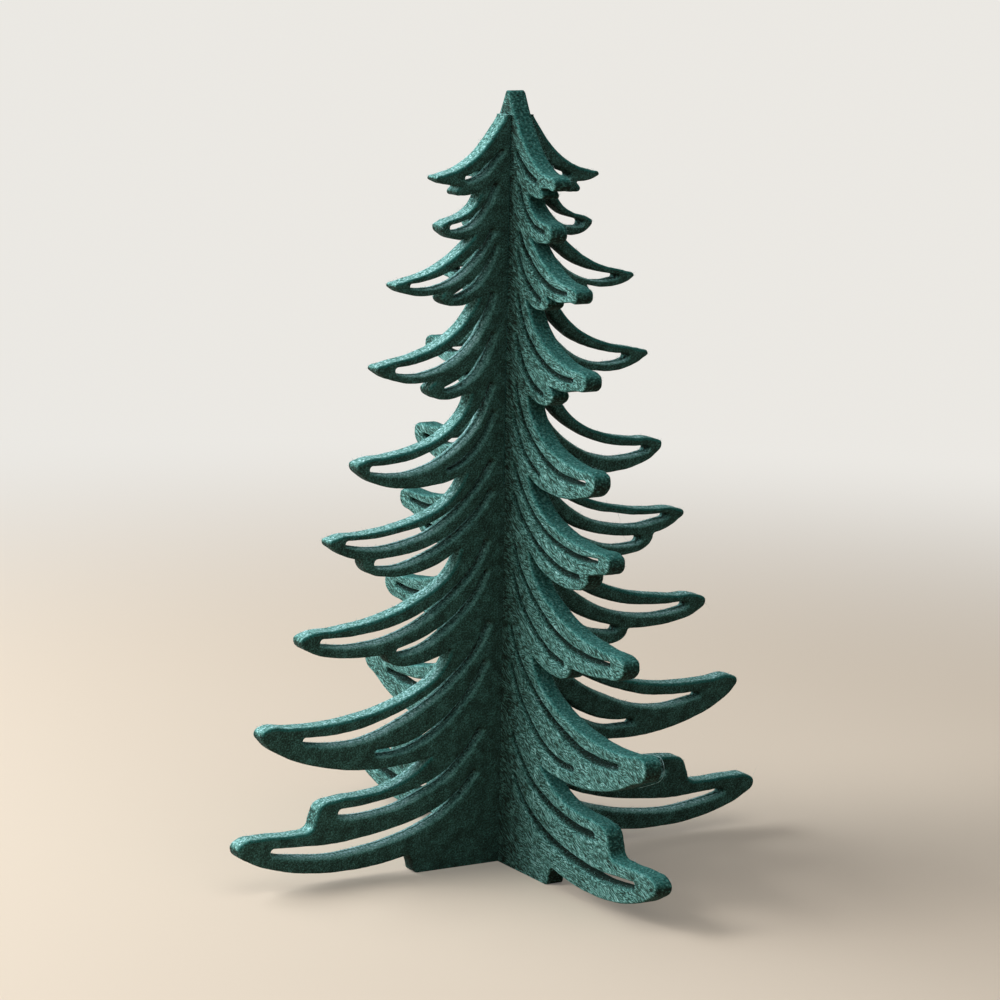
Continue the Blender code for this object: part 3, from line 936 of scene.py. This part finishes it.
bpy.ops.object.select_all(action="DESELECT")
bpy.ops.mesh.primitive_plane_add(size=room["floorSize"])
floor = bpy.context.object
floor.name = "floor"

paper = bpy.data.materials.new("floor")
paper.use_nodes = True
tree = paper.node_tree
shader = tree.nodes["Principled BSDF"]
setInputs(shader, {"Base Color": room["floorColour"], "Roughness": 0.9, "Specular IOR Level": 0.1})
glow = addNode(tree, "Emission", (0, -400))
setInputs(glow, {"Color": room["paleColour"]})
where = addNode(tree, "TexCoord", (-900, -200))
far = addNode(tree, "VectorMath", (-700, -200), operation="LENGTH")
tree.links.new(where.outputs["Object"], far.inputs[0])
fade = addFade(tree, (-500, -200), far.outputs["Value"], (room["fadeFrom"], room["fadeTo"]),
               (room["lift"], 1))
ray = addNode(tree, "LightPath", (-500, -500))
seen = addMath(tree, "MULTIPLY", (-200, -300), fade, ray.outputs["Is Camera Ray"])
mixShaders(tree, (400, 0), seen, shader, glow, "Material Output")
floor.data.materials.append(paper)

world = bpy.data.worlds.new("room")
bpy.context.scene.world = world
world.use_nodes = True
tree = world.node_tree
soft = tree.nodes["Background"]
setInputs(soft, {"Color": room["fillColour"], "Strength": room["fill"]})
pale = addNode(tree, "Background", (0, -300))
setInputs(pale, {"Color": room["paleColour"]})
ray = addNode(tree, "LightPath", (0, 400))
mixShaders(tree, (300, 0), ray.outputs["Is Camera Ray"], soft, pale, "World Output")

# daylight from the left, a low glow from behind that side, and a wide one from above
lamps = {
    "daylight": {"way": (-0.94, 0.27), "up": 27, "far": 1.3, "size": (0.5, 0.7),
                 "power": 13.0, "colour": (1.0, 1.0, 1.0)},
    "lowGlow": {"way": (-0.62, 0.78), "up": 30, "far": 1.6, "size": (1.4, 0.9),
                "power": 25.0, "colour": (0.95, 1.0, 1.04)},
    "highGlow": {"way": (-0.25, -0.6), "up": 63, "far": 1.4, "size": (1.5, 1.5),
                 "power": 9.0, "colour": (0.98, 1.0, 1.0)},
}
aim = Vector((0, 0, 0.14))
for name, lamp in lamps.items():
    up = math.radians(lamp["up"])
    way = Vector((*lamp["way"], 0)).normalized() * math.cos(up) + Vector((0, 0, math.sin(up)))
    area = bpy.data.lights.new(name, "AREA")
    area.shape = "RECTANGLE"
    area.size, area.size_y = lamp["size"]
    area.energy = lamp["power"]
    area.color = lamp["colour"]
    obj = bpy.data.objects.new(name, area)
    obj.location = aim + way * lamp["far"]
    obj.rotation_euler = way.to_track_quat("Z", "Y").to_euler()
    bpy.context.scene.collection.objects.link(obj)

cameraSet = {
    "place": (-0.73277, -1.23535, 0.41145),
    "yaw": math.radians(30.547),
    "pitch": math.radians(10.237),
    "roll": math.radians(1.076),
    "lens": 127.84,
    "film": 36,
}
lens = bpy.data.cameras.new("camera")
lens.lens = cameraSet["lens"]
lens.sensor_width = cameraSet["film"]
camera = bpy.data.objects.new("camera", lens)
camera.matrix_world = (Matrix.Translation(cameraSet["place"])
                       @ Matrix.Rotation(-cameraSet["yaw"], 4, "Z")
                       @ Matrix.Rotation(math.pi / 2 - cameraSet["pitch"], 4, "X")
                       @ Matrix.Rotation(cameraSet["roll"], 4, "Z"))
bpy.context.scene.collection.objects.link(camera)
bpy.context.scene.camera = camera
bpy.context.scene.view_settings.view_transform = "Standard"
print("light and camera set")
